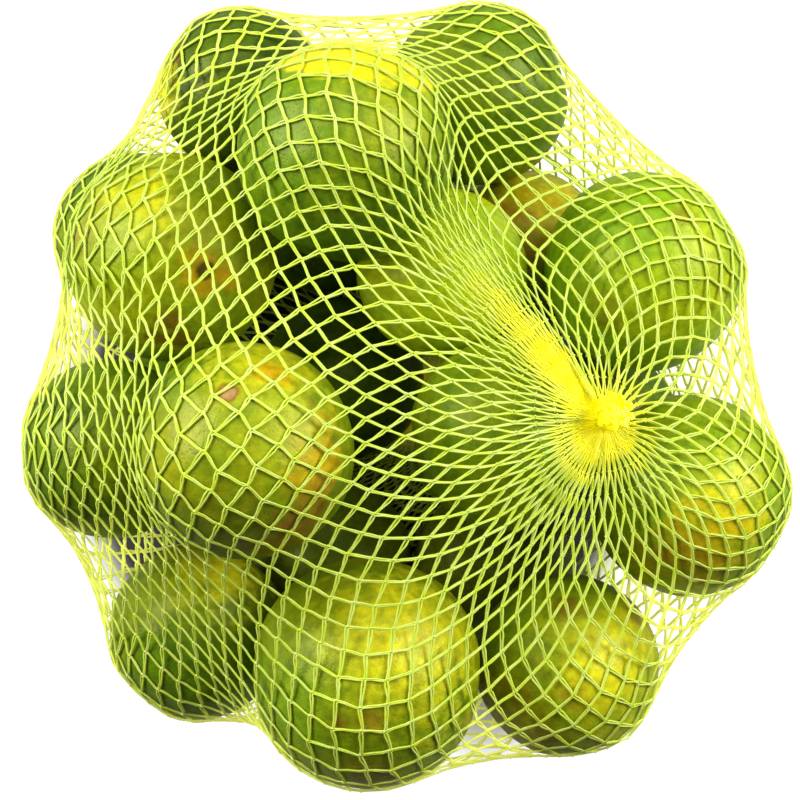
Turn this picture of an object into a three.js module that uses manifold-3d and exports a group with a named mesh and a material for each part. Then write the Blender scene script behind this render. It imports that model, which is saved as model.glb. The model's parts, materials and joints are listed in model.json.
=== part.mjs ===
// A net of oranges lying on a table. Twenty-one fruit of uneven size are heaped three deep in a tube of knitted
// net, which is drawn tight over them and gathered at two ends. The pack is one solid, the outside that the
// taut net makes over the fruit, with the pleated tail of net that stands out of each gather.
// Millimetres, +Z up. The origin is on the table, under the middle of the pack.

import * as THREE from 'three';
import { mergeVertices } from 'three/addons/utils/BufferGeometryUtils.js';
import Module from 'manifold-3d';

// Sizes of the net, in millimetres
const NET_THICKNESS = 1;
const GATHER_RADIUS = 4;
const SPAN_DIP = 4; // how far the net dips between neighbours round the rim

// The pleated tail of net past a gather, from its root in the gather to its top
const TAIL_OUTLINE = [
  { height: -4, radius: 3 },
  { height: 0, radius: 4.5 },
  { height: 4, radius: 6 },
  { height: 9, radius: 7.5 },
  { height: 12, radius: 5 },
];
const TAIL_PLEATS = 9;
const PLEAT_DEPTH = 0.14; // share of the tail's radius
const FACETS_PER_PLEAT = 4;

// How far the pack's weight flattens the fruit that it lies on
const TABLE_PRESS = 1.2;

// The oranges from the table upwards: place across and along the table, diameter, and which ones make the rim
const ORANGES = [
  { x: 43, y: 47.5, diameter: 57 },
  { x: -27, y: 62, diameter: 60 },
  { x: -94, y: 52, diameter: 60 },
  { x: -79, y: -16, diameter: 60 },
  { x: -26, y: -62, diameter: 57 },
  { x: 31.5, y: -66, diameter: 58 },
  { x: 66, y: -15.5, diameter: 61 },
  { x: -22, y: 2, diameter: 58 },
  { x: -56, y: 99, diameter: 56.5, rim: true },
  { x: 25, y: 99.5, diameter: 63, rim: true },
  { x: 79.5, y: 37, diameter: 67, rim: true },
  { x: 94, y: -37.5, diameter: 67, rim: true },
  { x: 54, y: -94.5, diameter: 61.5, rim: true },
  { x: -71, y: -85, diameter: 60.5, rim: true },
  { x: -97.5, y: -22, diameter: 59.5, rim: true },
  { x: -76.5, y: 41, diameter: 69, rim: true },
  { x: 12.5, y: 36.5, diameter: 57.5 },
  { x: 32.5, y: -17.5, diameter: 63.5 },
  { x: -19, y: 72.5, diameter: 69.5 },
  { x: -50, y: -21.5, diameter: 68 },
  { x: -12.5, y: -95, diameter: 76, rim: true },
];

// The two gathers: the one that shows, on the upper side, and the one tucked into the hollow underneath
const GATHERS = [
  { at: new THREE.Vector3(63.5, -12.3, 113), tail: new THREE.Vector3(0.3, 0.35, 1) },
  { at: new THREE.Vector3(20, -10, 17), tail: new THREE.Vector3(0.1, -0.1, -1) },
];

// The loose net before it is drawn tight
const LOOSE_NET = { centre: new THREE.Vector3(0, 0, 75), across: 320, height: 220 };
const NET_DIVISIONS = 20; // splits of each edge of the icosahedron that the net starts from
const PULLS = 1200; // times that each point of the net is drawn towards its neighbours
const PULL_SHARE = 0.9; // how far a point goes each time
const MERGE_TOLERANCE = 0.001;

const wasm = await Module();
wasm.setup();

// Each orange drops until it meets the table or an orange placed before it.
function heapOranges(oranges) {
  const heap = [];
  for (const { x, y, diameter, rim } of oranges) {
    const radius = diameter / 2;
    let z = radius + NET_THICKNESS - TABLE_PRESS;
    for (const under of heap) {
      const reach = radius + under.radius;
      const apart = Math.hypot(x - under.centre.x, y - under.centre.y);
      if (apart < reach) {
        z = Math.max(z, under.centre.z + Math.sqrt(reach ** 2 - apart ** 2));
      }
    }
    heap.push({ centre: new THREE.Vector3(x, y, z), radius, rim });
  }
  return heap;
}

// Pairs of neighbours round the rim, between which the net runs nearly straight
function rimSpans(heap) {
  const bearing = ({ centre }) => Math.atan2(centre.y, centre.x);
  const rim = heap.filter((orange) => orange.rim).sort((a, b) => bearing(a) - bearing(b));
  return rim.map((from, i) => {
    const to = rim[(i + 1) % rim.length];
    return { from, to, along: to.centre.clone().sub(from.centre) };
  });
}

// One vertex for each corner, with nothing but its position
function weld(geometry) {
  geometry.deleteAttribute('normal');
  geometry.deleteAttribute('uv');
  return mergeVertices(geometry, MERGE_TOLERANCE);
}

function toSolid(geometry) {
  const vertProperties = new Float32Array(geometry.attributes.position.array);
  const triVerts = new Uint32Array(geometry.index.array);
  return new wasm.Manifold(new wasm.Mesh({ numProp: 3, vertProperties, triVerts }));
}

function toGeometry(solid) {
  const { vertProperties, triVerts } = solid.getMesh();
  const geometry = new THREE.BufferGeometry();
  geometry.setAttribute('position', new THREE.BufferAttribute(vertProperties, 3));
  geometry.setIndex(new THREE.BufferAttribute(triVerts, 1));
  geometry.computeVertexNormals();
  return geometry;
}

function neighboursOf(geometry, count) {
  const neighbours = Array.from({ length: count }, () => new Set());
  const corners = geometry.index.array;
  for (let i = 0; i < corners.length; i += 3) {
    for (let side = 0; side < 3; side++) {
      const from = corners[i + side];
      const to = corners[i + ((side + 1) % 3)];
      neighbours[from].add(to);
      neighbours[to].add(from);
    }
  }
  return neighbours.map((set) => [...set]);
}

// Ties the point of the loose net that is nearest to the gather's side, and the ring of points round it.
function tieGather(points, neighbours, gather, tied) {
  const outward = gather.at.clone().sub(LOOSE_NET.centre).normalize();
  const facing = (point) => point.clone().sub(LOOSE_NET.centre).dot(outward);
  const middle = points.reduce((best, point, i) => (facing(point) > facing(points[best]) ? i : best), 0);
  const centre = points[middle].clone();
  for (const i of neighbours[middle]) {
    const spoke = points[i].clone().sub(centre).setZ(0).setLength(GATHER_RADIUS);
    points[i].copy(gather.at).add(spoke);
    tied.add(i);
  }
  points[middle].copy(gather.at);
  tied.add(middle);
}

function pushOutOfBall(point, centre, radius) {
  if (point.distanceToSquared(centre) < radius ** 2) {
    point.sub(centre).setLength(radius).add(centre);
  }
}

const nearest = new THREE.Vector3(); // point of a span's middle line that is nearest to a point of the net

// Keeps a point of the net off the oranges and the table, and out of the straight spans round the rim.
function pushOut(point, heap, spans) {
  for (const { from, to, along } of spans) {
    const share = nearest.subVectors(point, from.centre).dot(along) / along.lengthSq();
    if (share < 0 || share > 1) continue;
    const dip = 4 * SPAN_DIP * share * (1 - share);
    const radius = THREE.MathUtils.lerp(from.radius, to.radius, share) + NET_THICKNESS - dip;
    pushOutOfBall(point, nearest.copy(from.centre).addScaledVector(along, share), radius);
  }
  heap.forEach(({ centre, radius }) => pushOutOfBall(point, centre, radius + NET_THICKNESS));
  point.z = Math.max(point.z, 0);
}

// Draws the loose net tight: every point goes towards the middle of its neighbours, as far as the oranges let it.
function tightenNet(heap) {
  const geometry = weld(new THREE.IcosahedronGeometry(1, NET_DIVISIONS));
  const position = geometry.attributes.position;
  const stretch = new THREE.Vector3(LOOSE_NET.across, LOOSE_NET.across, LOOSE_NET.height).multiplyScalar(0.5);
  const points = [];
  for (let i = 0; i < position.count; i++) {
    points.push(new THREE.Vector3().fromBufferAttribute(position, i).multiply(stretch).add(LOOSE_NET.centre));
  }
  const neighbours = neighboursOf(geometry, points.length);
  const spans = rimSpans(heap);
  const tied = new Set();
  GATHERS.forEach((gather) => tieGather(points, neighbours, gather, tied));
  const middle = new THREE.Vector3();
  for (let pull = 0; pull < PULLS; pull++) {
    points.forEach((point, i) => {
      if (tied.has(i)) return;
      middle.set(0, 0, 0);
      neighbours[i].forEach((n) => middle.add(points[n]));
      point.lerp(middle.divideScalar(neighbours[i].length), PULL_SHARE);
      pushOut(point, heap, spans);
    });
  }
  points.forEach((point, i) => position.setXYZ(i, point.x, point.y, point.z));
  return geometry;
}

// The bunched end of the net past its gather, flared and pleated, standing along the tail's direction
function pleatedTail({ at, tail }) {
  const outline = TAIL_OUTLINE.map(({ height, radius }) => new THREE.Vector2(radius, height));
  const root = new THREE.Vector2(0, outline[0].y);
  const top = new THREE.Vector2(0, outline[outline.length - 1].y);
  const geometry = weld(new THREE.LatheGeometry([root, ...outline, top], TAIL_PLEATS * FACETS_PER_PLEAT));
  const position = geometry.attributes.position;
  for (let i = 0; i < position.count; i++) {
    const angle = Math.atan2(position.getZ(i), position.getX(i));
    const pleat = 1 + PLEAT_DEPTH * Math.cos(TAIL_PLEATS * angle);
    position.setXYZ(i, position.getX(i) * pleat, position.getY(i), position.getZ(i) * pleat);
  }
  const turn = new THREE.Quaternion().setFromUnitVectors(new THREE.Vector3(0, 1, 0), tail.clone().normalize());
  return geometry.applyQuaternion(turn).translate(at.x, at.y, at.z);
}

function filledNet() {
  const tight = toSolid(tightenNet(heapOranges(ORANGES)));
  const solid = GATHERS.reduce((net, gather) => net.add(toSolid(pleatedTail(gather))), tight);
  const material = new THREE.MeshStandardMaterial({ color: 0xb4cc3c, roughness: 0.5, metalness: 0 });
  const mesh = new THREE.Mesh(toGeometry(solid), material);
  mesh.name = 'filled_net';
  return mesh;
}

const netOfOranges = new THREE.Group();
netOfOranges.add(filledNet());

export default netOfOranges;
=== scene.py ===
"""A net of oranges on a white table, seen from straight above.

Twenty-one oranges with green, olive and yellow peel are heaped three deep. A tube of knitted net is drawn
tight over them and gathered at two ends: one gather shows on the upper side, the other is in the hollow
underneath. The net's knots are found by drawing a loose diamond mesh tight over the modelled fruit. Its
strands, pairs of thin filaments that run side by side through each knot, are then laid along the knots.
Places and sizes are in millimetres up to the last step, and the finished pieces are in metres.
"""

import json
import math
from collections import namedtuple

import bpy
import numpy as np
from bpy.props import FloatProperty, FloatVectorProperty, IntProperty, PointerProperty
from mathutils import Euler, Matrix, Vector
from mathutils.kdtree import KDTree

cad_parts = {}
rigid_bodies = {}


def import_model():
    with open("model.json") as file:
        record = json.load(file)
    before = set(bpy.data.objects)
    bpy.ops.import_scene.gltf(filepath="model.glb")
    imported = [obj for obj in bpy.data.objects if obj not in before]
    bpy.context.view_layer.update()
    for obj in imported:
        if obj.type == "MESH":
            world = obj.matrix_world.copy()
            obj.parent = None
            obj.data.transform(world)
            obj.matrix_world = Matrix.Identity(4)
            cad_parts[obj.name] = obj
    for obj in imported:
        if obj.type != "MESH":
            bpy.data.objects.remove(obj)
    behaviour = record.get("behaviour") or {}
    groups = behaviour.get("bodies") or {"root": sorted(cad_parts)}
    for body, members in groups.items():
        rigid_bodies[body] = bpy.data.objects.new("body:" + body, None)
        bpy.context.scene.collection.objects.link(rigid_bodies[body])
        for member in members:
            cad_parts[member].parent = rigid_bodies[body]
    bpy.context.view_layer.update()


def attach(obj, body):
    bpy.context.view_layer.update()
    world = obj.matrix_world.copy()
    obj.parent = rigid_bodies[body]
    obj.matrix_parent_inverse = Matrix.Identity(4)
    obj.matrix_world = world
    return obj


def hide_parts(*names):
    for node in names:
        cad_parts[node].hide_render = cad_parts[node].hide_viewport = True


bl_info = {
    "name": "Net of oranges",
    "version": (1, 0, 0),
    "blender": (4, 5, 0),
    "location": "3D View > Sidebar > Net of oranges",
    "description": "Models oranges heaped in a knitted net that is drawn tight over them",
    "category": "Add Mesh",
}

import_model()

MM = 0.001
BODY = "root"
SOLID = "filled_net"

# The heap, in millimetres
NET_THICKNESS = 1.0
TABLE_PRESS = 1.2  # how far the pack's weight flattens the fruit that it lies on
FLAT_SPOT = 1.0  # height of those flat spots over the table, which leaves room for the net

# Dents of an orange, as shares of its radius: where the points lie that are moved, how far and how widely
Dent = namedtuple("Dent", "spot depth reach")
STEM_DIMPLE = Dent(0.995, 0.05, 0.42)
BLOSSOM_DENT = Dent(0.997, 0.03, 0.3)
UNEVEN = 0.05  # height of the lumps, as a share of the radius
LUMP_SIZE = 0.03  # in metres

# The peel's pattern, with sizes in metres
RIPENESS_STEPS = (-0.16, 0.0, 0.2)  # how much less and more ripe its clouds are
CLOUD_SIZE = 0.03
RIPENING_SIZE = 0.045
RAGGED_SIZE = 0.007  # of the bays in a mark's edge
MOTTLE_SIZE = 0.0028
PEBBLE_SIZE = 0.0035
PIT_DEPTH = -0.8  # against the height of the pebbles
PIT_SHADE = -0.06
SPECK_SPACING = 0.0065
SPECK_SIZE = 0.16  # as a share of the spacing
SPECK_SHARE = 0.4  # how far a speck covers
PEEL_RELIEF = 0.00025

# The thread's pattern, with sizes in metres
STREAK_SIZE = 0.004
STREAK_SHARE = 0.35
STREAK_PALER = 0.3
FIBRE_SIZE = 0.0004
FIBRE_RELIEF = 0.0001

# The two gathers, and the direction that the tail of net stands in past each
UPPER_GATHER = np.array([63.5, -12.3, 113.0])
UPPER_TAIL = np.array([0.3, 0.35, 1.0])
LOWER_GATHER = np.array([20.0, -10.0, 17.0])
LOWER_TAIL = np.array([0.1, -0.1, -1.0])
GATHER_RADIUS = 2.6

# A tail from its neck to its tips: height past the gather and radius
TAIL_OUTLINE = [(0.5, 2.6), (3.0, 3.4), (6.5, 4.6), (10.0, 5.6)]
TAIL_PLEATS = 9
PLEAT_DEPTH = 0.14
TAIL_THICKER = 2.0  # filaments in a tail against those in the net
TAIL_TURN = 0.12  # how far a filament's bearing strays in it
TAIL_DEPTHS = (0.02, 1.0)  # squares of the shares of the radius between which filaments lie
TAIL_LENGTHS = (0.8, 1.12)  # shares of the height between which they end

# The loose net, before it is drawn tight: an egg
EGG_MIDDLE = np.array([0.0, 0.0, 72.0])
EGG_HALF = np.array([140.0, 142.0, 92.0])
EGG_END = 0.03  # tilt of its first and last rows

# Folds of net at the upper gather: bearing and half width in degrees, and how much denser the strands are
FOLDS = [(130, 7, 2.8), (142, 16, 0.7), (238, 17, 0.9), (310, 25, 0.3)]
LEAN_BEARING = 10  # the side where the strands are furthest apart
LEAN = 0.3
FOLDED_ROWS = 12
FOLD_HOLD = 0.3  # how firmly the strands next to the gather keep their bearings

# The net is taut over the top of the heap and slack below.
SLACKENS = (14, 22)  # rows between which it slackens
HANGS = (12, 22)  # rows between which it starts to hang
TAUT_PUSH = 0.48  # how hard a taut leg keeps from being shortened
SLACK_PUSH = 0.02
SINK = 0.05  # how far slack net sinks at each pull, in millimetres

# How the net is drawn tight
KNOT_GAP = 0.8  # from the peel or the table to a knot, in millimetres
LEG_SEED = 5
LEGS_UNEVEN = (0.95, 1.05)  # shares of a leg's length between which legs differ
NECK_LEGS = (0.3, 1.5)  # the same for the legs next to the upper gather
NECK_STEP = 3  # columns from one such length to the next
STRETCH_FIRM = 0.95  # how much of a leg's stretch is taken up at each pull
LOOSE_LEGS = 2.0  # length of the legs at the first pull against their own
EASED = 0.35  # share of the pulls after which they have their own length
FILM_FIRST = 0.12  # how far a knot goes to the middle of its neighbours at the first pull
FILM_LOST = 0.1  # how much less far it goes in the end
FILM_SETTLES = 0.6  # share of the pulls after which it does
TINY = 1e-9

# Where the net is denser: bearing from the upper gather and half width in degrees, and how many more columns
# there are, or the first and last row and how much closer the rows are. Rows out of sight make up for it.
DENSE_COLUMNS = [(190, 40, 0.12), (300, 60, 0.18), (140, 25, 0.3)]
DENSE_ROWS = [(180, 60, 24, 46, 0.35), (186, 40, 12, 24, 0.14)]
OUT_OF_SIGHT = 48

# The net under the pack's rim is drawn in, from some rows past the rim on.
TUCKED = (2, 8)  # rows past the rim between which it gets free to move
TUCK_SHARE = 0.9  # how far a free knot goes to the middle of its neighbours each time
TUCKS = 600

# A strand's two filaments, in millimetres
STRAND_SEED = 11
KNOT_LENGTH = 1.1  # how far two strands run side by side in a knot
KNOT_ASIDE = 0.42  # from the middle of a knot to the middle of each strand
KNOT_CROSSING = 0.3  # how far a filament goes over or under where two cross
PAIR_AT_KNOT = 0.28  # from the middle of a strand to each filament
KNOT_SPLIT = 0.9  # how far a parted leg's inner filament stays back on the other side of its knot
PAIR_PARTED = 0.48
PAIR_TOGETHER = 0.21
STRAND_WAVER = 0.06
LEG_CURVE = (0.2, 0.7)  # how roundly a taut and a slack leg turn out of their knots
LEG_POINTS = (0.28, 0.64)  # shares of a leg at which it has a point
FILAMENT_GAP = 0.39  # from the peel to the middle of a filament
FILAMENT_SIDES = 4
KNOT_POINTS = 5  # points of a filament from one knot to the next
GORES = 5  # pieces that the net is split into

# Distances between neighbouring knots, in millimetres
BUNCH_TOUCH = 0.9  # strands count as bunched tight
BUNCH_OPEN = 2.3  # strands don't count as bunched at all
CLOSED_CELL = 2.5  # a strand's filaments lie over each other
OPEN_CELL = 8.0  # they lie side by side
CLOSED_PAIR = 0.45  # share of the open distance between them in a closed cell
THIN_CELLS = (0.8, 3.0)  # between these, strands are drawn thin towards a gather
THINNEST = 0.7

# Painted glow of the strands, which stands in for light coming through them from behind
PAINTED_GLOW_UP = 0.09  # facing up
PAINTED_GLOW_RIM = 0.55  # round the rim
PAINTED_GLOW_BUNCHED = 0.12
PAINTED_GLOW_TAIL = 0.35
RIM = (88.0, 108.0)  # distances from the middle of the pack at which the rim begins and is full
# The rim's painted glow stands in for light coming up from the table where no fruit lies under the strands.
BESIDE_FRUIT = (-4.0, 0.5)  # distances beside the nearest fruit between which light comes up from the table
NEAR_GATHER = (6.0, 20.0)  # distances from the upper gather between which strands stop looking bunched
BUNCHED_THERE = 0.7

# The table, in metres, with painted shade under the pack and at the front, and painted yellowish light where
# it is seen through the net
PACK_SHADE = (-0.018, -0.016, 0.0)  # middle of the shade under the pack
PACK_SHADE_ENDS = (0.096, 0.112)  # distances from it at which the shade fades
FRONT_SHADE = (0.03, -0.112, 0.0)  # middle of a weaker shade at the front
FRONT_SHADE_ENDS = (0.008, 0.034)
FRONT_SHADE_LIGHT = 0.25
SHADE = (0.04, 0.04, 0.04, 1.0)
TABLE_GLOW = 0.95
NET_OVAL = (1.0, 0.92, 0.0)  # shape of the stretch of table that is seen through the net
NET_OVAL_ENDS = (0.118, 0.128)
WHITE = (1.0, 1.0, 1.0, 1.0)

# Softboxes, in metres, with the property that has their power, and what they point at
Softbox = namedtuple("Softbox", "name place width height power")
SOFTBOXES = [
    Softbox("back_softbox", (0.0, 1.1, 0.95), 1.0, 0.7, "back_light"),
    Softbox("left_softbox", (-0.92, 0.38, 0.66), 0.85, 0.85, "side_light"),
    Softbox("right_softbox", (0.92, 0.38, 0.66), 0.85, 0.85, "side_light"),
    Softbox("top_panel", (0.0, 0.3, 1.3), 0.9, 0.9, "top_light"),
]
LIT_PLACE = (0.0, 0.0, 0.08)
ROOM_LIGHT = 0.015

# The photograph's view, in millimetres over the table
CAMERA_PLACE = (-1.8, -5.9, 820.7)
LENS = 100.0
SENSOR = 36.0

Mark = namedtuple("Mark", "across along size colour share soft")
Orange = namedtuple("Orange", "x y diameter ripe shade stem marks")

# The oranges from the table upwards: place on the table and diameter in millimetres, how ripe the peel is,
# from 0 for dark green to 1 for yellow, how bright it is, which is partly its own tone and partly painted
# shade and light, the stem's bearing and lean, and the peel's marks.
# A mark has its place across and along the fruit seen from above and its size, as shares of the fruit's
# radius, then its colour, how far it covers, and how soft its edge is.
ORANGES = [
    # The fruit underneath are darkened: painted shade that keeps the gaps between the upper fruit dark.
    Orange(43, 47.5, 57, 0.66, 0.6, (200, 100), [
        Mark(0.3, 0.6, 0.6, "yellow", 0.5, 0.6),
        Mark(0.1, 0.5, 0.5, "orange", 0.4, 0.7),
        Mark(-0.35, 0.0, 0.5, "brown", 0.7, 0.6),
    ]),
    Orange(-27, 62, 60, 0.3, 0.5, (40, 110), []),
    Orange(-94, 52, 60, 0.3, 0.8, (310, 70), []),
    Orange(-79, -16, 60, 0.4, 0.5, (90, 120), []),
    Orange(-26, -62, 57, 0.5, 0.5, (160, 80), []),
    Orange(31.5, -66, 58, 0.5, 0.5, (10, 100), []),
    Orange(66, -15.5, 61, 0.3, 0.6, (260, 95), []),
    Orange(-22, 2, 58, 0.2, 0.5, (75, 130), []),
    Orange(-56, 99, 56.5, 0.14, 0.5, (150, 75), [
        Mark(-0.72, 0.36, 0.14, "brown", 0.8, 0.35),
        Mark(-0.93, -0.02, 0.34, "yellow", 0.9, 0.5),
    ]),
    Orange(25, 99.5, 63, 0.28, 0.7, (20, 85), []),
    Orange(79.5, 37, 67, 0.45, 1.3, (30, 80), [
        Mark(0.02, 0.6, 0.4, "green", 0.6, 0.8),
        Mark(0.6, 0.0, 0.4, "olive", 0.5, 0.8),
        Mark(0.34, 0.53, 0.13, "brown", 0.5, 0.6),
        Mark(-0.43, -0.36, 0.11, "brown", 0.5, 0.6),
        Mark(-0.42, -0.52, 0.11, "brown", 0.6, 0.6),
        Mark(-0.1, -0.4, 0.4, "olive", 0.4, 0.8),
    ]),
    Orange(94, -37.5, 67, 0.45, 0.98, (330, 75), [
        Mark(0.22, -0.16, 0.4, "yellow", 0.55, 0.8),
        Mark(0.0, -0.5, 0.38, "orange", 0.6, 0.8),
        Mark(-0.4, -0.62, 0.34, "brown", 0.5, 0.8),
    ]),
    Orange(54, -94.5, 61.5, 0.56, 0.96, (280, 85), [
        Mark(0.37, 0.16, 0.6, "yellow", 0.45, 0.8),
        Mark(-0.6, -0.7, 0.62, "brown", 0.6, 0.7),
        Mark(0.2, 0.85, 0.4, "green", 0.6, 0.6),
        Mark(-0.04, 0.72, 0.15, "brown", 0.7, 0.5),
        Mark(0.71, 0.57, 0.13, "brown", 0.7, 0.5),
        Mark(0.03, -0.23, 0.14, "brown", 0.4, 0.8),
    ]),
    Orange(-71, -85, 60.5, 0.33, 0.75, (230, 85), [
        Mark(-0.05, 0.05, 0.5, "unripe", 0.6, 0.6),
        Mark(0.15, 0.85, 0.6, "olive", 0.8, 0.7),
        Mark(0.35, 0.75, 0.4, "yellow", 0.7, 0.7),
    ]),
    Orange(-97.5, -22, 59.5, 0.3, 0.66, (180, 80), []),
    Orange(-76.5, 41, 69, 0.63, 0.98, (332, 27), [
        Mark(0.41, -0.2, 0.22, "orange", 0.75, 0.4),
        Mark(0.6, -0.28, 0.12, "orange", 0.8, 0.5),
        Mark(0.42, -0.36, 0.1, "orange", 0.6, 0.5),
        Mark(0.41, -0.19, 0.1, "dark", 0.9, 0.25),
        Mark(0.43, -0.2, 0.055, "scar", 1.0, 0.25),
        Mark(0.04, -0.64, 0.13, "brown", 0.75, 0.5),
        Mark(0.12, -0.8, 0.13, "brown", 0.75, 0.5),
        Mark(-0.1, -0.78, 0.12, "brown", 0.7, 0.5),
        Mark(-0.73, 0.2, 0.22, "scar", 0.4, 0.8),
    ]),
    # This fruit is made brighter than its own tone: painted light where the dense net shades it.
    Orange(12.5, 36.5, 57.5, 0.58, 1.6, (140, 80), []),
    Orange(32.5, -17.5, 63.5, 0.42, 0.92, (190, 85), []),
    Orange(-19, 72.5, 69.5, 0.35, 0.92, (75, 95), [
        Mark(0.12, 0.985, 0.83, "yellow", 1.0, 0.06),
        Mark(0.45, 0.2, 0.45, "olive", 0.6, 0.8),
        # Painted shade: this dark mark darkens the lower side of the fruit.
        Mark(0.05, -0.85, 0.7, "unripe", 0.9, 0.7),
    ]),
    Orange(-50, -21.5, 68, 0.46, 0.75, (250, 115), [
        Mark(0.22, 0.8, 0.45, "yellow", 0.45, 0.7),
        Mark(0.5, 0.1, 0.5, "olive", 0.7, 0.8),
        Mark(0.75, -0.12, 0.3, "orange", 0.65, 0.8),
        Mark(0.6, -0.66, 0.34, "brown", 0.75, 0.6),
        Mark(0.35, -0.8, 0.26, "brown", 0.6, 0.6),
        Mark(-0.1, -0.8, 0.5, "brown", 0.3, 0.8),
        Mark(0.28, 0.72, 0.16, "orange", 0.85, 0.5),
        Mark(-0.1, 0.53, 0.1, "brown", 0.9, 0.25),
        Mark(-0.1, 0.53, 0.065, "scar", 1.0, 0.35),
    ]),
    Orange(-12.5, -95, 76, 0.53, 0.72, (350, 100), [
        Mark(0.42, 0.42, 0.6, "yellow", 0.6, 0.8),
        Mark(-0.76, -0.06, 0.55, "green", 0.5, 0.8),
        Mark(0.03, -0.29, 0.1, "brown", 0.6, 0.5),
        Mark(-0.22, -0.31, 0.09, "brown", 0.6, 0.5),
        Mark(0.05, -0.8, 0.22, "brown", 0.5, 0.6),
    ]),
]


def colour_property(name, description, default):
    return FloatVectorProperty(name=name, description=description, subtype="COLOR", default=default)


def length_property(name, description, default):
    return FloatProperty(name=name, description=description, default=default, unit="LENGTH")


def power_property(name, description, default):
    return FloatProperty(name=name, description=description, default=default, unit="POWER")


class NetSizes(bpy.types.PropertyGroup):
    """Sizes and colours of the knitted net."""

    cells: IntProperty(name="Cells", description="Meshes of the net round its tube", default=55)
    rows: IntProperty(name="Rows", description="Rows of knots from one gather to the other", default=80)
    leg: length_property("Leg", "Strand from knot to knot where it is stretched", 0.0074)
    relaxed: length_property("Relaxed leg", "The same next to the gather", 0.0058)
    filament: length_property("Filament", "Thickness of a strand's filaments", 0.0007)
    pulls: IntProperty(name="Pulls", description="Times that the net is drawn tighter", default=3000)
    colour: colour_property("Strand", "Colour of a single strand", (0.55, 0.7, 0.035))
    bunched: colour_property("Bunched", "Colour of bunched strands", (0.9, 0.83, 0.005))
    # Colour of the strands' painted glow, which stands in for light coming through them.
    painted_glow_colour: colour_property("Shine", "Light that comes through it", (0.82, 0.8, 0.15))


class PeelColours(bpy.types.PropertyGroup):
    """Colours of the fruit, from unripe to ripe, and of their marks."""

    unripe: colour_property("Unripe", "Darkest green peel", (0.075, 0.17, 0.006))
    green: colour_property("Green", "Peel of most of the fruit", (0.2, 0.35, 0.006))
    olive: colour_property("Olive", "Peel that is turning yellow", (0.42, 0.46, 0.006))
    yellow: colour_property("Yellow", "Ripe peel", (0.95, 0.84, 0.012))
    orange: colour_property("Orange", "Ripest patches", (0.7, 0.4, 0.006))
    brown: colour_property("Brown", "Rubbed spots and specks", (0.22, 0.09, 0.01))
    dark: colour_property("Dark", "Edge of the stem's scar", (0.04, 0.02, 0.008))
    scar: colour_property("Scar", "Dry skin of scars and stem ends", (0.42, 0.23, 0.09))
    pore: length_property("Pore", "Distance from pore to pore", 0.0013)


class StageLook(bpy.types.PropertyGroup):
    """Light and floor of the studio."""

    floor: colour_property("Floor", "Light that the table throws back", (0.25, 0.25, 0.25))
    # Colour of the painted yellowish light on the table where it is seen through the net.
    under: colour_property("Under", "Table seen through the net", (1.0, 1.0, 0.78))
    back_light: power_property("Back", "Softbox behind", 5.0)
    side_light: power_property("Side", "Each softbox at a side", 17.8)
    top_light: power_property("Top", "Overhead panel", 1.8)


# Helpers for objects


def select_only(obj):
    bpy.ops.object.select_all(action="DESELECT")
    obj.select_set(True)
    bpy.context.view_layer.objects.active = obj


def select_points(obj, wanted):
    """Goes into edit mode with the points for which wanted(place) is true selected."""
    bpy.ops.object.mode_set(mode="EDIT")
    bpy.ops.mesh.select_mode(type="VERT")
    bpy.ops.mesh.select_all(action="DESELECT")
    bpy.ops.object.mode_set(mode="OBJECT")
    for point in obj.data.vertices:
        point.select = wanted(point.co)
    bpy.ops.object.mode_set(mode="EDIT")


def finish_piece(obj, name, material):
    """Names a finished piece, dresses it and ties it to the frame."""
    obj.name = name
    obj.data.name = name
    obj.data.materials.clear()
    obj.data.materials.append(material)
    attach(obj, BODY)
    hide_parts(SOLID)


def mesh_places(obj):
    places = np.empty(len(obj.data.vertices) * 3, np.float32)
    obj.data.vertices.foreach_get("co", places)
    return places.reshape(-1, 3).astype(float)


def search_tree(places):
    tree = KDTree(len(places))
    for index, place in enumerate(places):
        tree.insert(place, index)
    tree.balance()
    return tree


# Helpers for materials


def set_socket(tree, socket, value):
    """Links a socket to another node's output, or sets it to a plain value."""
    if isinstance(value, bpy.types.NodeSocket):
        tree.links.new(value, socket)
    else:
        socket.default_value = value


def set_sockets(tree, node, values):
    for name, value in values.items():
        set_socket(tree, node.inputs[name], value)


def add_node(tree, kind, **values):
    """A node with its sockets set or linked by name."""
    made = tree.nodes.new(kind)
    set_sockets(tree, made, values)
    return made


def calculate_vector(tree, operation, *values, kind="ShaderNodeVectorMath"):
    made = tree.nodes.new(kind)
    made.operation = operation
    for socket, value in zip(made.inputs, values):
        set_socket(tree, socket, value)
    return made.outputs


def calculate(tree, operation, *values):
    return calculate_vector(tree, operation, *values, kind="ShaderNodeMath")[0]


def blend_colours(tree, share, under, over):
    made = tree.nodes.new("ShaderNodeMix")
    made.data_type = "RGBA"
    for index, value in ((0, share), (6, under), (7, over)):
        set_socket(tree, made.inputs[index], value)
    return made.outputs[2]


def noise(tree, position, size, detail=2.0, roughness=0.5):
    """Noise from 0 to 1 whose lumps are about that size, in metres."""
    made = add_node(
        tree, "ShaderNodeTexNoise", Vector=position, Scale=1.0 / size, Detail=detail, Roughness=roughness
    )
    return made.outputs["Fac"]


def map_range(tree, value, low, high, to_low=0.0, to_high=1.0):
    made = tree.nodes.new("ShaderNodeMapRange")
    made.interpolation_type = "SMOOTHSTEP"
    for socket, given in zip(made.inputs, (value, low, high, to_low, to_high)):
        set_socket(tree, socket, given)
    return made.outputs[0]


def opaque(colour):
    return (*colour, 1.0)


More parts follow.
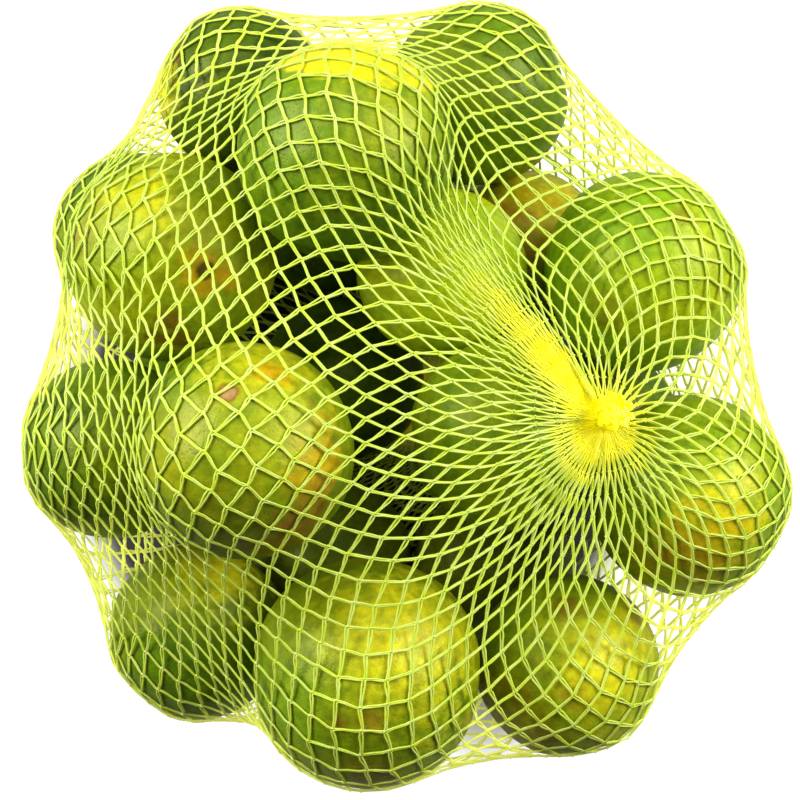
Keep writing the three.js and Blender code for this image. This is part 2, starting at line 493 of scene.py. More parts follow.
def new_group(name, vectors, values, results):
    """A node group with these vectors and values going in and these values coming out, and its sockets."""
    group = bpy.data.node_groups.new(name, "ShaderNodeTree")
    for titles, way, kind in (
        (vectors, "INPUT", "NodeSocketVector"),
        (values, "INPUT", "NodeSocketFloat"),
        (results, "OUTPUT", "NodeSocketFloat"),
    ):
        for title in titles:
            group.interface.new_socket(name=title, in_out=way, socket_type=kind)
    return group, group.nodes.new("NodeGroupInput").outputs, group.nodes.new("NodeGroupOutput").inputs


def soft_mark_group():
    """A mask that is 1 inside a ragged round mark and 0 outside it."""
    group, given, result = new_group(
        "Soft mark", ["Position", "Centre"], ["Size", "Softness", "Ragged"], ["Mask"]
    )
    away = calculate_vector(group, "DISTANCE", given["Position"], given["Centre"])
    blur = calculate(group, "MULTIPLY", given["Size"], given["Softness"])
    reach = calculate(group, "MULTIPLY_ADD", given["Ragged"], blur, away["Value"])
    inner = calculate(group, "SUBTRACT", given["Size"], blur)
    outer = calculate(group, "ADD", given["Size"], blur)
    group.links.new(map_range(group, reach, inner, outer, 1.0, 0.0), result["Mask"])
    return group


def pores_group():
    """Relief of citrus peel: round pits, a pore apart, on a finely pebbled skin."""
    group, given, result = new_group("Citrus pores", ["Position"], ["Pore"], ["Height", "Pit"])
    cells = group.nodes.new("ShaderNodeTexVoronoi")
    cells.feature = "SMOOTH_F1"
    cells.inputs["Smoothness"].default_value = 0.35
    group.links.new(given["Position"], cells.inputs["Vector"])
    group.links.new(calculate(group, "DIVIDE", 1.0, given["Pore"]), cells.inputs["Scale"])
    pit = map_range(group, cells.outputs["Distance"], 0.12, 0.5, 1.0, 0.0)
    pebbles = noise(group, given["Position"], PEBBLE_SIZE)
    height = calculate(group, "MULTIPLY_ADD", pit, PIT_DEPTH, pebbles)
    group.links.new(height, result["Height"])
    group.links.new(pit, result["Pit"])
    return group


def specks_group():
    """A mask of small uneven specks, a few to each stretch of peel."""
    group, given, result = new_group("Peel specks", ["Position"], ["Spacing", "Size"], ["Mask"])
    cells = group.nodes.new("ShaderNodeTexVoronoi")
    group.links.new(given["Position"], cells.inputs["Vector"])
    group.links.new(calculate(group, "DIVIDE", 1.0, given["Spacing"]), cells.inputs["Scale"])
    ragged = calculate(group, "MULTIPLY_ADD", noise(group, given["Position"], 0.0012, 3.0), 0.09, -0.045)
    reach = calculate(group, "ADD", cells.outputs["Distance"], ragged)
    spot = map_range(group, reach, 0.0, given["Size"], 1.0, 0.0)
    some = map_range(group, noise(group, given["Position"], 0.016, 1.0), 0.5, 0.62)
    group.links.new(calculate(group, "MULTIPLY", spot, some), result["Mask"])
    return group


def shared_group(maker, name):
    return bpy.data.node_groups.get(name) or maker()


def use_group(tree, group, **values):
    made = tree.nodes.new("ShaderNodeGroup")
    made.node_tree = group
    set_sockets(tree, made, values)
    return made.outputs


def new_material(name):
    material = bpy.data.materials.new(name)
    material.use_nodes = True
    tree = material.node_tree
    return material, tree, tree.nodes["Principled BSDF"]


def ripened(colours, ripe):
    """Colour of peel that is this ripe, from 0 for dark green to 1 for yellow."""
    steps = [Vector(colour) for colour in (colours.unripe, colours.green, colours.olive, colours.yellow)]
    way = min(max(ripe, 0.0), 0.999) * (len(steps) - 1)
    return steps[int(way)].lerp(steps[int(way) + 1], way % 1.0)


def add_marks(tree, colour, position, fruit, centre, radius, colours):
    """The peel's colour with this fruit's own marks over it."""
    group = shared_group(soft_mark_group, "Soft mark")
    ragged = map_range(tree, noise(tree, position, RAGGED_SIZE, 3.0, 0.6), 0.25, 0.75, -0.8, 0.8)
    for mark in fruit.marks:
        up = math.sqrt(max(0.0, 1.0 - mark.across**2 - mark.along**2))
        place = (Vector(centre) + radius * Vector((mark.across, mark.along, up))) * MM
        size = mark.size * radius * MM
        mask = use_group(
            tree, group, Position=position, Centre=place, Size=size, Softness=mark.soft, Ragged=ragged
        )
        share = calculate(tree, "MULTIPLY", mask["Mask"], mark.share)
        colour = blend_colours(tree, share, colour, opaque(getattr(colours, mark.colour)))
    return colour


def peel_material(name, fruit, centre, radius, colours):
    """Pored peel: clouded, riper in places, with this fruit's own marks and a few brown specks."""
    material, tree, skin = new_material(name)
    position = tree.nodes.new("ShaderNodeTexCoord").outputs["Object"]
    # The fruit's brightness factor holds painted shade and light as well as the peel's own tone.
    tones = [opaque(ripened(colours, fruit.ripe + step) * fruit.shade) for step in RIPENESS_STEPS]
    clouds = noise(tree, position, CLOUD_SIZE, 3.0, 0.55)
    colour = blend_colours(tree, map_range(tree, clouds, 0.4, 0.62), tones[0], tones[1])
    ripening = noise(tree, position, RIPENING_SIZE, 3.0)
    colour = blend_colours(tree, map_range(tree, ripening, 0.5, 0.72), colour, tones[2])
    colour = add_marks(tree, colour, position, fruit, centre, radius, colours)
    speck_group = shared_group(specks_group, "Peel specks")
    specks = use_group(tree, speck_group, Position=position, Spacing=SPECK_SPACING, Size=SPECK_SIZE)
    share = calculate(tree, "MULTIPLY", specks["Mask"], SPECK_SHARE)
    colour = blend_colours(tree, share, colour, opaque(colours.brown))
    pores = use_group(tree, shared_group(pores_group, "Citrus pores"), Position=position, Pore=colours.pore)
    mottle = map_range(tree, noise(tree, position, MOTTLE_SIZE, 3.0), 0.3, 0.75, 0.82, 1.15)
    pitted = calculate(tree, "MULTIPLY_ADD", pores["Pit"], PIT_SHADE, 1.0)
    tint = tree.nodes.new("ShaderNodeVectorMath")
    tint.operation = "SCALE"
    set_socket(tree, tint.inputs[0], colour)
    set_socket(tree, tint.inputs["Scale"], calculate(tree, "MULTIPLY", mottle, pitted))
    bump = add_node(tree, "ShaderNodeBump", Strength=0.3, Distance=PEEL_RELIEF, Height=pores["Height"])
    set_sockets(tree, skin, {
        "Base Color": tint.outputs[0],
        "Roughness": map_range(tree, clouds, 0.3, 0.7, 0.4, 0.3),
        "Normal": bump.outputs["Normal"],
        "Specular IOR Level": 0.42,
        "Specular Tint": (1.0, 0.95, 0.35, 1.0),
    })
    return material


def read_mark(tree, name):
    """What mark_net stored on the net's points under this name."""
    made = tree.nodes.new("ShaderNodeAttribute")
    made.attribute_name = name
    return made.outputs["Fac"]


def net_material(sizes):
    """Glossy plastic thread, yellower where bunched, with a painted glow that stands in for light coming
    through it.
    """
    material, tree, thread = new_material("net_thread")
    position = tree.nodes.new("ShaderNodeTexCoord").outputs["Object"]
    bunched = read_mark(tree, "bunched")
    streaks = map_range(tree, noise(tree, position, STREAK_SIZE, 3.0), 0.35, 0.7)
    streaks = calculate(tree, "MULTIPLY", streaks, STREAK_SHARE)
    paler = opaque([channel + STREAK_PALER * (1.0 - channel) for channel in sizes.colour])
    single = blend_colours(tree, streaks, opaque(sizes.colour), paler)
    fibre = noise(tree, position, FIBRE_SIZE)
    bump = add_node(tree, "ShaderNodeBump", Strength=0.2, Distance=FIBRE_RELIEF, Height=fibre)
    set_sockets(tree, thread, {
        "Base Color": blend_colours(tree, bunched, single, opaque(sizes.bunched)),
        "Roughness": map_range(tree, fibre, 0.3, 0.7, 0.3, 0.48),
        "Normal": bump.outputs["Normal"],
        "Emission Color": blend_colours(tree, bunched, opaque(sizes.painted_glow_colour), opaque(sizes.bunched)),
        "Emission Strength": read_mark(tree, "glow"),
        "Specular IOR Level": 0.35,
    })
    material.cycles.emission_sampling = "NONE"
    return material


# The heap of oranges


def heap_oranges():
    """Middle and radius of each orange, which drops until it meets the table or a fruit below."""
    heap = []
    for fruit in ORANGES:
        radius = fruit.diameter / 2
        height = radius + NET_THICKNESS - TABLE_PRESS
        for middle, under in heap:
            apart = math.hypot(fruit.x - middle[0], fruit.y - middle[1])
            if apart < radius + under:
                height = max(height, middle[2] + math.sqrt((radius + under) ** 2 - apart**2))
        heap.append(((fruit.x, fruit.y, height), radius))
    return heap


def press_dent(obj, wanted, depth, reach):
    """Moves the wanted points up by this depth, in metres, and the peel round them along."""
    select_points(obj, wanted)
    bpy.ops.transform.translate(
        value=(0, 0, depth),
        use_proportional_edit=True,
        proportional_edit_falloff="SMOOTH",
        proportional_size=reach,
    )
    bpy.ops.object.mode_set(mode="OBJECT")


def model_orange(fruit, middle, radius, lump):
    """One orange: a ball with a stem dimple and a blossom dent, uneven all over, flat where it lies."""
    size = radius * MM
    stem, blossom = STEM_DIMPLE, BLOSSOM_DENT
    bpy.ops.mesh.primitive_uv_sphere_add(segments=96, ring_count=64, radius=size)
    obj = bpy.context.object
    press_dent(obj, lambda place: place.z > stem.spot * size, -stem.depth * size, stem.reach * size)
    press_dent(obj, lambda place: place.z < -blossom.spot * size, blossom.depth * size, blossom.reach * size)
    bearing, lean = fruit.stem
    obj.rotation_euler = Euler((0, math.radians(lean), math.radians(bearing)))
    obj.location = Vector(middle) * MM
    bpy.ops.object.transform_apply(location=True, rotation=True, scale=True)
    uneven = obj.modifiers.new("uneven", "DISPLACE")
    uneven.texture = lump
    uneven.texture_coords = "LOCAL"
    uneven.mid_level = 0.62
    uneven.strength = UNEVEN * size
    bpy.ops.object.modifier_apply(modifier="uneven")
    flat = FLAT_SPOT * MM
    if middle[2] - radius < FLAT_SPOT:
        select_points(obj, lambda place: place.z < flat)
        bpy.ops.transform.resize(value=(1, 1, 0), center_override=(0, 0, flat))
        bpy.ops.object.mode_set(mode="OBJECT")
    bpy.ops.object.shade_smooth()
    return obj


class OBJECT_OT_heap_oranges(bpy.types.Operator):
    """Models each orange of the heap with its own peel"""

    bl_idname = "object.heap_oranges"
    bl_label = "Heap oranges"

    def execute(self, context):
        colours = context.scene.peel_colours
        lump = bpy.data.textures.new("lump", "CLOUDS")
        lump.noise_scale = LUMP_SIZE
        for number, (fruit, (middle, radius)) in enumerate(zip(ORANGES, heap_oranges()), 1):
            obj = model_orange(fruit, middle, radius, lump)
            material = peel_material(f"peel_{number:02d}", fruit, middle, radius, colours)
            finish_piece(obj, f"orange_{number:02d}", material)
        return {"FINISHED"}


# The net, drawn tight


class PeelMap:
    """How far a fruit's peel is from its middle in every direction, read from the finished fruit."""

    BEARINGS = 72
    TILTS = 36

    def __init__(self, obj, middle):
        self.middle = np.array(middle)
        away = mesh_places(obj) / MM - self.middle
        reach = np.linalg.norm(away, axis=1)
        self.widest = reach.max()
        tree = search_tree(away / reach[:, None])
        self.reach = np.empty((self.TILTS + 1, self.BEARINGS + 1))
        for row in range(self.TILTS + 1):
            tilt = math.pi * row / self.TILTS
            out = math.sin(tilt)
            for column in range(self.BEARINGS + 1):
                bearing = 2 * math.pi * column / self.BEARINGS - math.pi
                spot = (out * math.cos(bearing), out * math.sin(bearing), math.cos(tilt))
                self.reach[row, column] = reach[tree.find(spot)[1]]

    def peel(self, away, distance):
        """Distance of the peel along each of these directions."""
        row = np.arccos(np.clip(away[:, 2] / distance, -1, 1)) * self.TILTS / math.pi
        column = (np.arctan2(away[:, 1], away[:, 0]) + math.pi) * self.BEARINGS / (2 * math.pi)
        top = np.minimum(row.astype(int), self.TILTS - 1)
        left = np.minimum(column.astype(int), self.BEARINGS - 1)
        down = row - top
        right = column - left
        upper = self.reach[top, left] * (1 - right) + self.reach[top, left + 1] * right
        lower = self.reach[top + 1, left] * (1 - right) + self.reach[top + 1, left + 1] * right
        return upper * (1 - down) + lower * down


def keep_off(places, peels, gap):
    """Moves points of the net out of the fruit and off the table, in place."""
    for peel in peels:
        away = places - peel.middle
        square = (away * away).sum(axis=1)
        near = np.flatnonzero(square < (peel.widest + gap) ** 2)
        if not near.size:
            continue
        distance = np.sqrt(np.maximum(square[near], 1e-6))
        wanted = peel.peel(away[near], distance) + gap
        inside = distance < wanted
        stretch = (wanted[inside] / distance[inside])[:, None]
        places[near[inside]] = peel.middle + away[near[inside]] * stretch
    places[:, 2] = np.maximum(places[:, 2], gap)


def strand_bearings():
    """The bearing of the strands round the upper gather for a share of the way round."""
    fine = np.linspace(0, 2 * math.pi, 3601)
    density = 1 - LEAN * np.cos(fine - math.radians(LEAN_BEARING))
    for bearing, width, extra in FOLDS:
        off = (fine - math.radians(bearing) + math.pi) % (2 * math.pi) - math.pi
        density += extra * np.exp(-0.5 * (off / math.radians(width)) ** 2)
    count = np.concatenate([[0], np.cumsum((density[1:] + density[:-1]) / 2)])
    return lambda share: np.interp(share % 1.0, count / count[-1], fine) + 2 * math.pi * np.floor(share)


def on_egg(place):
    direction = (place - EGG_MIDDLE) / EGG_HALF
    return direction / np.linalg.norm(direction)


def loose_net(cells, rows, bearings):
    """Knots of the net before it is drawn tight, on a big egg with the gathers at its ends."""
    top, bottom = on_egg(UPPER_GATHER), on_egg(LOWER_GATHER)
    east = np.array([1.0, 0.0, 0.0]) - top[0] * top
    east /= np.linalg.norm(east)
    north = np.cross(top, east)
    knots = np.zeros((rows + 1, cells, 3))
    for row in range(rows + 1):
        way = row / rows
        tilt = min(max(math.pi * way, EGG_END), math.pi - EGG_END)
        share = (np.arange(cells) + 0.5 * (row % 2)) / cells
        folded = max(0.0, 1 - 2 * way)
        bearing = folded * bearings(share) + (1 - folded) * 2 * math.pi * share
        round_top = np.cos(bearing)[:, None] * east + np.sin(bearing)[:, None] * north
        direction = math.cos(tilt) * top + math.sin(tilt) * round_top + way**3 * (top + bottom)
        knots[row] = EGG_MIDDLE + EGG_HALF * direction / np.linalg.norm(direction, axis=1, keepdims=True)
    return knots


def leg_groups(rows):
    """Legs in four groups with no knot in common: their upper rows, lower rows and the lower row's turn."""
    groups = []
    for odd in (0, 1):
        upper = np.arange(odd, rows, 2)
        for turn in (0, -1 if odd else 1):
            groups.append((upper, upper + 1, turn))
    return groups


def neighbour_middles(knots, groups):
    """The middle of each knot's four neighbours in the rows before and after it."""
    total = np.zeros_like(knots)
    for upper, lower, turn in groups:
        total[upper] += np.roll(knots[lower], turn, axis=1)
        total[lower] += np.roll(knots[upper], -turn, axis=1)
    return total / 4


def tied_ring(gather, bearing):
    return gather + GATHER_RADIUS * np.stack([np.cos(bearing), np.sin(bearing), 0 * bearing], axis=1)


def swell(bearing, middle, half):
    """1 at the middle bearing, falling smoothly to 0 at half a width from it, both in degrees."""
    off = np.abs((np.degrees(bearing) - middle + 180) % 360 - 180)
    return np.where(off < half, np.cos(0.5 * math.pi * off / half) ** 2, 0.0)


def add_columns(knots, bearings):
    """The net with more columns where it is dense, and the bearing of each column at the upper gather."""
    cells = knots.shape[1]
    steps = 50
    way = np.linspace(0, cells, steps * cells + 1)
    density = np.ones(len(way))
    for middle, half, extra in DENSE_COLUMNS:
        density += extra * swell(bearings(way / cells), middle, half)
    count = np.concatenate([[0], np.cumsum((density[1:] + density[:-1]) / (2 * steps))])
    columns = round(count[-1])
    dense = np.empty((knots.shape[0], columns, 3))
    for odd in (0, 1):
        at = np.interp((np.arange(columns) + 0.5 * odd) * count[-1] / columns, count, way) - 0.5 * odd
        left = np.floor(at).astype(int)
        share = (at - left)[None, :, None]
        own = knots[odd::2]
        dense[odd::2] = own[:, left % cells] * (1 - share) + own[:, (left + 1) % cells] * share
    return dense, bearings(np.interp(np.arange(columns) * count[-1] / columns, count, way) / cells)


def crowd_rows(knots, ring):
    """The net with its rows closer where it is dense, moved along its own surface."""
    rows = knots.shape[0] - 1
    row = np.arange(rows)[:, None]
    gaps = np.ones((rows, knots.shape[1]))
    for middle, half, first, last, closer in DENSE_ROWS:
        inside = np.clip((row - first + 2) / 4, 0, 1) * np.clip((last - row + 2) / 4, 0, 1)
        gaps *= 1 - closer * inside * swell(ring, middle, half)
    gaps[OUT_OF_SIGHT:] = (rows - gaps[:OUT_OF_SIGHT].sum(axis=0)) / (rows - OUT_OF_SIGHT)
    moved = np.vstack([np.zeros(knots.shape[1]), np.cumsum(gaps, axis=0)])
    crowded = knots.copy()
    for column in range(knots.shape[1]):
        for odd in (0, 1):
            own = np.arange(odd, rows + 1, 2)
            for axis in range(3):
                crowded[own, column, axis] = np.interp(moved[own, column], own, knots[own, column, axis])
    return crowded


def tuck_under(knots, peels):
    """The net with its slack under the rim drawn in against the fruit and the table."""
    rows = knots.shape[0] - 1
    groups = leg_groups(rows)
    rim = np.hypot(knots[..., 0], knots[..., 1]).argmax(axis=0)
    past_rim = np.arange(rows + 1)[:, None] - rim[None, :]
    free = np.interp(past_rim, TUCKED, (0.0, TUCK_SHARE))[1:-1, :, None]
    for _ in range(TUCKS):
        knots[1:-1] += free * (neighbour_middles(knots, groups)[1:-1] - knots[1:-1])
        keep_off(knots[1:-1].reshape(-1, 3), peels, KNOT_GAP)
    return knots


def leg_lengths(sizes, ring, groups):
    """For each group of legs, their lengths in millimetres and how hard they keep from being shortened."""
    cells = len(ring)
    chance = np.random.default_rng(LEG_SEED)
    relaxed = (sizes.leg - sizes.relaxed) * (0.5 + 0.5 * np.cos(ring - math.radians(LEAN_BEARING)))
    lengths, pushes = [], []
    for upper, _, _ in groups:
        taut = np.interp(upper, SLACKENS, (1.0, 0.0))[:, None, None]
        drawn = (sizes.leg - relaxed[None, :, None] * taut) / MM
        lengths.append(drawn * chance.uniform(*LEGS_UNEVEN, (len(upper), cells, 1)))
        pushes.append(SLACK_PUSH + (TAUT_PUSH - SLACK_PUSH) * taut)
    neck = chance.uniform(*NECK_LEGS, cells // NECK_STEP + 1)
    slack = np.interp(np.arange(cells) % (cells - 1), np.arange(0, cells, NECK_STEP), neck)
    for length in lengths[:2]:
        length[0] *= slack[:, None]
    return lengths, pushes


def pull_legs(knots, groups, lengths, pushes, free):
    """Moves the knots at the two ends of each leg until it has its length, a short leg only partly."""
    for (upper, lower, turn), length, push in zip(groups, lengths, pushes):
        start, end = knots[upper], np.roll(knots[lower], turn, axis=1)
        along = end - start
        now = np.sqrt((along * along).sum(axis=2, keepdims=True)) + TINY
        over = now - length
        firm = np.where(over > 0, STRETCH_FIRM, push)
        move = firm * over / now / np.maximum(free[upper] + free[lower], TINY) * along
        knots[upper] = start + free[upper] * move
        knots[lower] = np.roll(end - free[lower] * move, -turn, axis=1)


def keep_folds(knots, folded, aim, hold):
    """Swings the strands next to the upper gather towards their bearings."""
    out = knots[folded] - UPPER_GATHER
    swing = hold * ((aim - np.arctan2(out[..., 1], out[..., 0]) + math.pi) % (2 * math.pi) - math.pi)
    knots[folded, :, 0] = UPPER_GATHER[0] + out[..., 0] * np.cos(swing) - out[..., 1] * np.sin(swing)
    knots[folded, :, 1] = UPPER_GATHER[1] + out[..., 0] * np.sin(swing) + out[..., 1] * np.cos(swing)


def draw_tight(sizes, peels):
    """Knots of the net, a row of cells at a time from the upper gather to the lower, in millimetres."""
    cells, rows = sizes.cells, sizes.rows
    bearings = strand_bearings()
    knots = loose_net(cells, rows, bearings)
    ring = bearings(np.arange(cells) / cells)
    upper_ring = tied_ring(UPPER_GATHER, ring)
    lower_ring = tied_ring(LOWER_GATHER, 2 * math.pi * (np.arange(cells) + 0.5 * (rows % 2)) / cells)
    free = np.ones((rows + 1, 1, 1))
    free[0] = free[-1] = 0
    groups = leg_groups(rows)
    lengths, pushes = leg_lengths(sizes, ring, groups)
    sink = SINK * np.interp(np.arange(1, rows), HANGS, (0.0, 1.0))[:, None]
    folded = np.arange(1, FOLDED_ROWS + 1)
    hold = FOLD_HOLD * (1 - folded / (FOLDED_ROWS + 1.0))[:, None]
    aim = bearings((np.arange(cells)[None, :] + 0.5 * (folded % 2)[:, None]) / cells)
    for pull in range(sizes.pulls):
        done = pull / sizes.pulls
        ease = max(1.0, LOOSE_LEGS - done / EASED)
        film = FILM_FIRST - FILM_LOST * min(1.0, done / FILM_SETTLES)
        knots[0], knots[-1] = upper_ring, lower_ring
        pull_legs(knots, groups, [length * ease for length in lengths], pushes, free)
        knots[1:-1] += film * (neighbour_middles(knots, groups)[1:-1] - knots[1:-1])
        keep_folds(knots, folded, aim, hold)
        knots[1:-1, :, 2] -= sink
        keep_off(knots.reshape(-1, 3), peels, KNOT_GAP)
    knots[0], knots[-1] = upper_ring, lower_ring
    knots = crowd_rows(*add_columns(knots, bearings))
    keep_off(knots[1:-1].reshape(-1, 3), peels, KNOT_GAP)
    return tuck_under(knots, peels)


# The strands along the knots


def unit(vectors):
    return vectors / np.maximum(np.linalg.norm(vectors, axis=-1, keepdims=True), TINY)


def knot_frames(knots):
    """For each knot, the way on to the next row, the way round the net, and outwards."""
    rows = knots.shape[0]
    on = np.empty_like(knots)
    side = np.empty_like(knots)
    for row in range(rows):
        back, forth = max(row - 2, 0), min(row + 2, rows - 1)
        same_back = knots[back] if (row - back) % 2 == 0 else knots[row]
        same_forth = knots[forth] if (forth - row) % 2 == 0 else knots[row]
        on[row] = same_forth - same_back
        side[row] = np.roll(knots[row], -1, axis=0) - np.roll(knots[row], 1, axis=0)
    on = unit(on)
    side = unit(side - (side * on).sum(axis=-1, keepdims=True) * on)
    return on, side, np.cross(on, side)


def cell_widths(knots):
    """Mean distance from each knot to its two neighbours in the same row."""
    to_next = np.linalg.norm(np.roll(knots, -1, axis=1) - knots, axis=2)
    return (to_next + np.roll(to_next, 1, axis=1)) / 2


def wale_knots(wale, rows, cells):
    """Column of the knot that a zigzag strand goes through in each row, and the side that it keeps to."""
    row = np.arange(rows + 1)
    if wale % 2:
        return np.full(rows + 1, wale // 2), np.where(row % 2 == 0, 1.0, -1.0)
    return np.where(row % 2 == 0, wale // 2, wale // 2 - 1) % cells, np.where(row % 2 == 0, -1.0, 1.0)


def tail_route(gather, tail, ring_place, chance):
    """The end of a strand past its gather, from its tip to the neck."""
    axis = tail / np.linalg.norm(tail)
    out = ring_place - gather
    across = unit(np.cross(axis, [0.0, 1.0, 0.0]))
    along = np.cross(axis, across)
    bearing = math.atan2(out @ along, out @ across) + chance.uniform(-TAIL_TURN, TAIL_TURN)
    spoke = math.cos(bearing) * across + math.sin(bearing) * along
    pleat = 1 + PLEAT_DEPTH * math.cos(TAIL_PLEATS * bearing)
    depth = math.sqrt(chance.uniform(*TAIL_DEPTHS))
    length = chance.uniform(*TAIL_LENGTHS)
    route = [
        gather + axis * height * length + spoke * spread * pleat * depth for height, spread in TAIL_OUTLINE
    ]
    return np.array(route[::-1])


# A strand's knots: place, way on, way round the net and outwards, room for its filaments and the side that
# it keeps to, and for each of its legs how roundly that curves
Strand = namedtuple("Strand", "place way round_net outward close hand curve")


def filament_run(strand, pair):
    """Points of one of a strand's two filaments: before, in and after each knot, and two along each leg."""
    place, way, round_net, outward, close, hand, curve = strand
    aside = place + hand * KNOT_ASIDE * close * round_net
    before, after = aside - KNOT_LENGTH / 2 * way, aside + KNOT_LENGTH / 2 * way
    span = before[1:] - after[:-1]
    pace = curve * np.abs((span * way[:-1]).sum(axis=1, keepdims=True))
    leg_side = unit(np.cross(unit(outward[:-1] + outward[1:]), unit(span)))
    parted = np.where(hand[:-1] > 0, PAIR_PARTED, PAIR_TOGETHER) * close[:-1]
    together = PAIR_TOGETHER * close[:-1]
    stacked = np.sqrt(np.maximum(PAIR_TOGETHER**2 - together**2, 0.0)) * outward[:-1]
    inner = pair * hand < 0
    across = np.where(inner, -hand * KNOT_ASIDE * 2, 0.0)
    over = np.where(inner, KNOT_CROSSING * hand, 0.0)
    split = np.where(inner & (hand > 0), -KNOT_SPLIT, pair * PAIR_AT_KNOT)
    run = np.empty((KNOT_POINTS * len(place) - len(LEG_POINTS), 3))
    run[0::KNOT_POINTS] = before + pair * PAIR_AT_KNOT * close * round_net
    run[1::KNOT_POINTS] = aside + across * round_net + over * outward
    run[2::KNOT_POINTS] = after + split * close * round_net
    for point, (share, apart) in enumerate(zip(LEG_POINTS, (parted, together)), 3):
        going = share**2 * (3 - 2 * share) * span
        leaving = share * (1 - share) ** 2 * pace * way[:-1]
        arriving = share**2 * (share - 1) * pace * way[1:]
        curved = after[:-1] + going + leaving + arriving
        run[point::KNOT_POINTS] = curved + pair * (apart * leg_side + stacked)
    return run


def strand_routes(knots, peels):
    """Middle lines of the filaments, two for each zigzag strand, each from one tail's tip to the other's.

    A route has the places of its points and how thick the filament is there.
    A leg that goes round the net anticlockwise on its way down has its two filaments parted next to the
    knot, and in a leg that goes round clockwise they stay together. At a knot, the two strands' inner
    filaments cross.
    """
    rows, cells = knots.shape[0] - 1, knots.shape[1]
    chance = np.random.default_rng(STRAND_SEED)
    on, side, out = knot_frames(knots)
    width = np.interp(cell_widths(knots), (CLOSED_CELL, OPEN_CELL), (CLOSED_PAIR, 1.0))[..., None]
    thin = np.interp(cell_widths(knots), THIN_CELLS, (THINNEST, 1.0))
    row = np.arange(rows + 1)
    curve = np.interp(row[:-1], SLACKENS, LEG_CURVE)[:, None]
    routes = []
    for wale in range(2 * cells):
        column, hand = wale_knots(wale, rows, cells)
        own = [values[row, column] for values in (knots, on, side, out, width)]
        strand = Strand(*own, hand[:, None], curve)
        for pair in (-1.0, 1.0):
            run = filament_run(strand, pair)
            run = run + chance.normal(0, STRAND_WAVER, run.shape)
            keep_off(run, peels, FILAMENT_GAP)
            start = tail_route(UPPER_GATHER, UPPER_TAIL, run[2], chance)
            finish = tail_route(LOWER_GATHER, LOWER_TAIL, run[-3], chance)[::-1]
            route = np.vstack([start, run[2:-2], finish])
            thickness = np.full((len(route), 1), TAIL_THICKER)
            thickness[len(start):-len(finish), 0] = np.repeat(thin[row, column], KNOT_POINTS)[2:-4]
            routes.append(np.hstack([route, thickness]))
    return routes


def lay_filaments(routes, thickness):
    """A mesh of thin filaments, four-sided and shaded smooth, along these routes."""
    curve = bpy.data.curves.new("filaments", "CURVE")
    curve.dimensions = "3D"
    curve.bevel_depth = thickness / 2
    curve.bevel_resolution = 0
    curve.use_fill_caps = True
    for route in routes:
        spline = curve.splines.new("POLY")
        spline.points.add(len(route) - 1)
        spline.points.foreach_set("co", np.hstack([route[:, :3] * MM, np.ones((len(route), 1))]).ravel())
        spline.points.foreach_set("radius", np.ascontiguousarray(route[:, 3]))
    obj = bpy.data.objects.new("filaments", curve)
    bpy.context.collection.objects.link(obj)
    select_only(obj)
    bpy.ops.object.convert(target="MESH")
    bpy.ops.object.shade_smooth()
    return bpy.context.object


def net_marks(knots, peels):
    """Places of the knots and tails, how tightly the strands are bunched there and how much they glow.

    Bunched is 1 where strands touch and 0 in open net. The strands have a painted glow, strongest round the
    rim, where it stands in for light from the white table under them and no fruit, then in the tails, and a
    little where they face up or are bunched.
    """
    tight = np.interp(cell_widths(knots).ravel(), (BUNCH_TOUCH, BUNCH_OPEN), (1.0, 0.0))
    from_gather = np.linalg.norm(knots - UPPER_GATHER, axis=2).ravel()
    tight = np.maximum(tight, np.interp(from_gather, NEAR_GATHER, (BUNCHED_THERE, 0.0)))
    facing_up = np.clip(knot_frames(knots)[2][..., 2], 0.0, 1.0).ravel()
    outside = np.interp(np.hypot(knots[..., 0], knots[..., 1]).ravel(), RIM, (0.0, 1.0))
    beside = np.full(facing_up.shape, np.inf)
    for peel in peels:
        away = knots.reshape(-1, 3) - peel.middle
        beside = np.minimum(beside, np.hypot(away[:, 0], away[:, 1]) - peel.widest)
    lit = np.interp(beside, BESIDE_FRUIT, (0.0, 1.0))
    glow = PAINTED_GLOW_UP * facing_up + PAINTED_GLOW_RIM * outside * lit + PAINTED_GLOW_BUNCHED * tight
    tails = [
        gather + height * unit(tail)
        for gather, tail in ((UPPER_GATHER, UPPER_TAIL), (LOWER_GATHER, LOWER_TAIL))
        for height, _ in TAIL_OUTLINE
    ]
    places = np.vstack([knots.reshape(-1, 3), tails])
    tight = np.append(tight, np.ones(len(tails)))
    glow = np.append(glow, np.full(len(tails), PAINTED_GLOW_TAIL))
    return places, {"bunched": tight, "glow": glow}


def mark_net(obj, tree, marks):
    """Stores on each point of a finished mesh the marks of the knot that is nearest to it."""
    places = mesh_places(obj) / MM
    nearest = np.empty(len(places), int)
    for start in range(0, len(places), FILAMENT_SIDES):
        nearest[start:start + FILAMENT_SIDES] = tree.find(places[start])[1]
    for name, values in marks.items():
        store = obj.data.attributes.new(name, "FLOAT", "POINT")
        store.data.foreach_set("value", values[nearest].astype(np.float32))


class OBJECT_OT_knit_net(bpy.types.Operator):
    """Draws the net tight over the oranges and lays its strands"""

    bl_idname = "object.knit_net"
    bl_label = "Knit net"

    def execute(self, context):
        sizes = context.scene.net_sizes
        peels = [
            PeelMap(bpy.data.objects[f"orange_{number:02d}"], middle)
            for number, (middle, _) in enumerate(heap_oranges(), 1)
        ]
        knots = draw_tight(sizes, peels)
        material = net_material(sizes)
        routes = strand_routes(knots, peels)
        places, marks = net_marks(knots, peels)
        tree = search_tree(places)
        for gore in range(GORES):
            share = routes[gore * len(routes) // GORES:(gore + 1) * len(routes) // GORES]
            obj = lay_filaments(share, sizes.filament)
            mark_net(obj, tree, marks)
            finish_piece(obj, f"net_gore_{gore + 1}", material)
        return {"FINISHED"}


